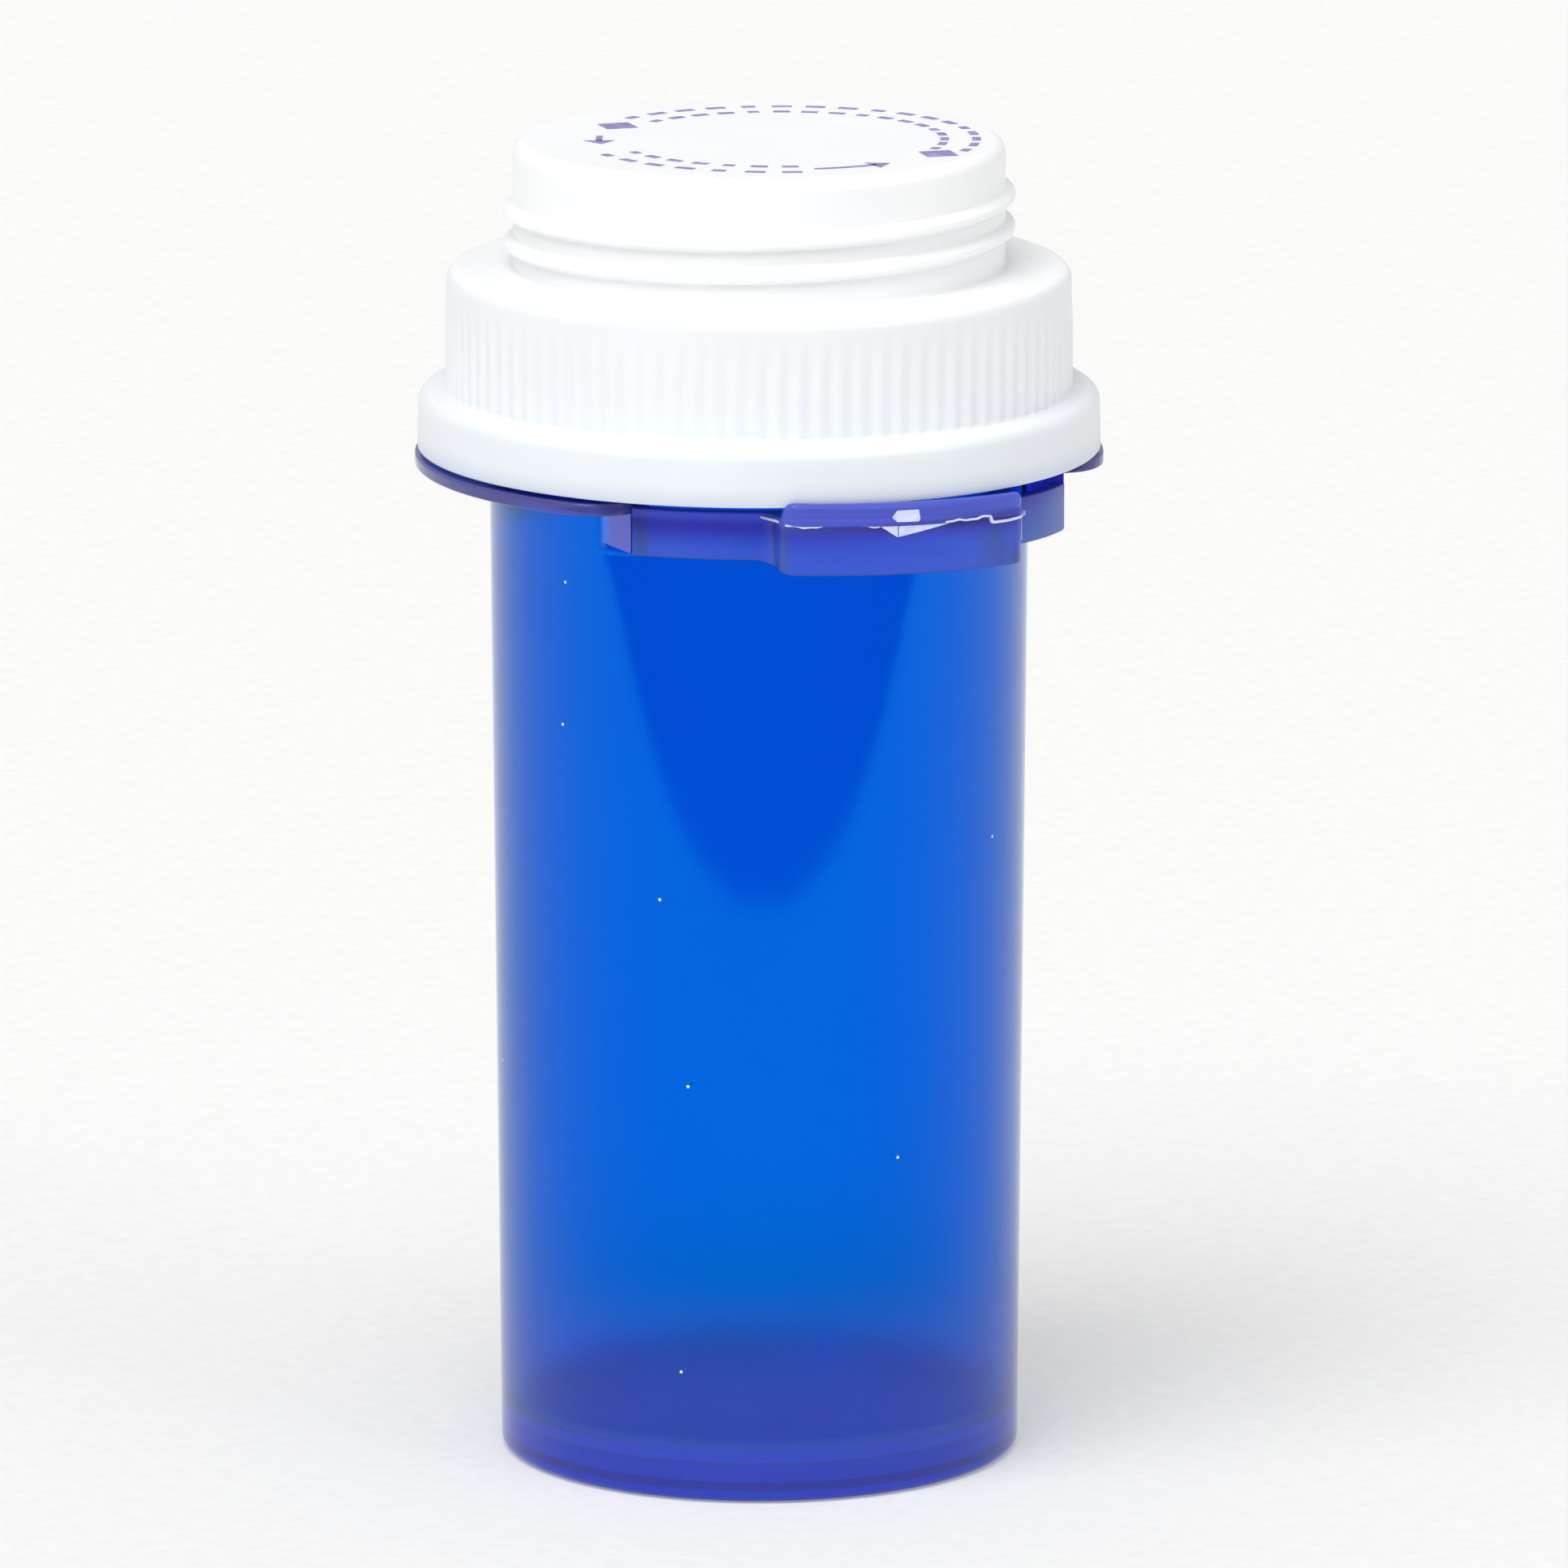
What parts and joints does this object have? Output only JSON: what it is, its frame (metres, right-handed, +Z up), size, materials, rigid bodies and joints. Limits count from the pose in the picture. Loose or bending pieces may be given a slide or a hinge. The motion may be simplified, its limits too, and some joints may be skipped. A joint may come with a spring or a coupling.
{
  "type": "prescription vial",
  "caption": "Tall translucent pharmacy vial with a press-tab latch and a reversible, ribbed child-resistant screw cap.",
  "frame": {"origin": "centre of the face the vial stands on", "axes": "+Z up along the vial's axis, -Y towards the press tab, +X to the right of a person facing the tab"},
  "size_m": [0.0444, 0.0451, 0.086],
  "materials": {
    "vial_plastic": "glossy translucent cobalt blue polypropylene",
    "cap_plastic": "satin white polypropylene, slightly translucent",
    "liner_foam": "matt white polyethylene foam"
  },
  "bodies": {
    "vial": {"vial_body": "vial_plastic"},
    "latch": {"spring_arm_left": "vial_plastic", "spring_arm_right": "vial_plastic", "press_tab": "vial_plastic", "latch_pawl": "vial_plastic"},
    "liner": {"seal_liner": "liner_foam"},
    "cap": {"reversible_cap": "cap_plastic"}
  },
  "joints": [
    {"name": "tab_press", "type": "hinge", "parent": "vial", "child": "latch", "pos_m": [0, -0.01175, 0.06385], "axis": [1, 0, 0], "range_deg": [0, 7], "stiffness_Nm_per_rad": 0.6},
    {"name": "cap_rise", "type": "slide", "parent": "vial", "child": "liner", "axis": [0, 0, 1], "range_m": [0, 0.0361]},
    {"name": "cap_turn", "type": "hinge", "parent": "liner", "child": "cap", "pos_m": [0, 0, 0.07], "axis": [0, 0, 1], "range_deg": [0, 1080]}
  ],
  "couplings": [
    {"joint": "cap_rise", "follows": "cap_turn", "m_per_rad": 0.0019099}
  ]
}
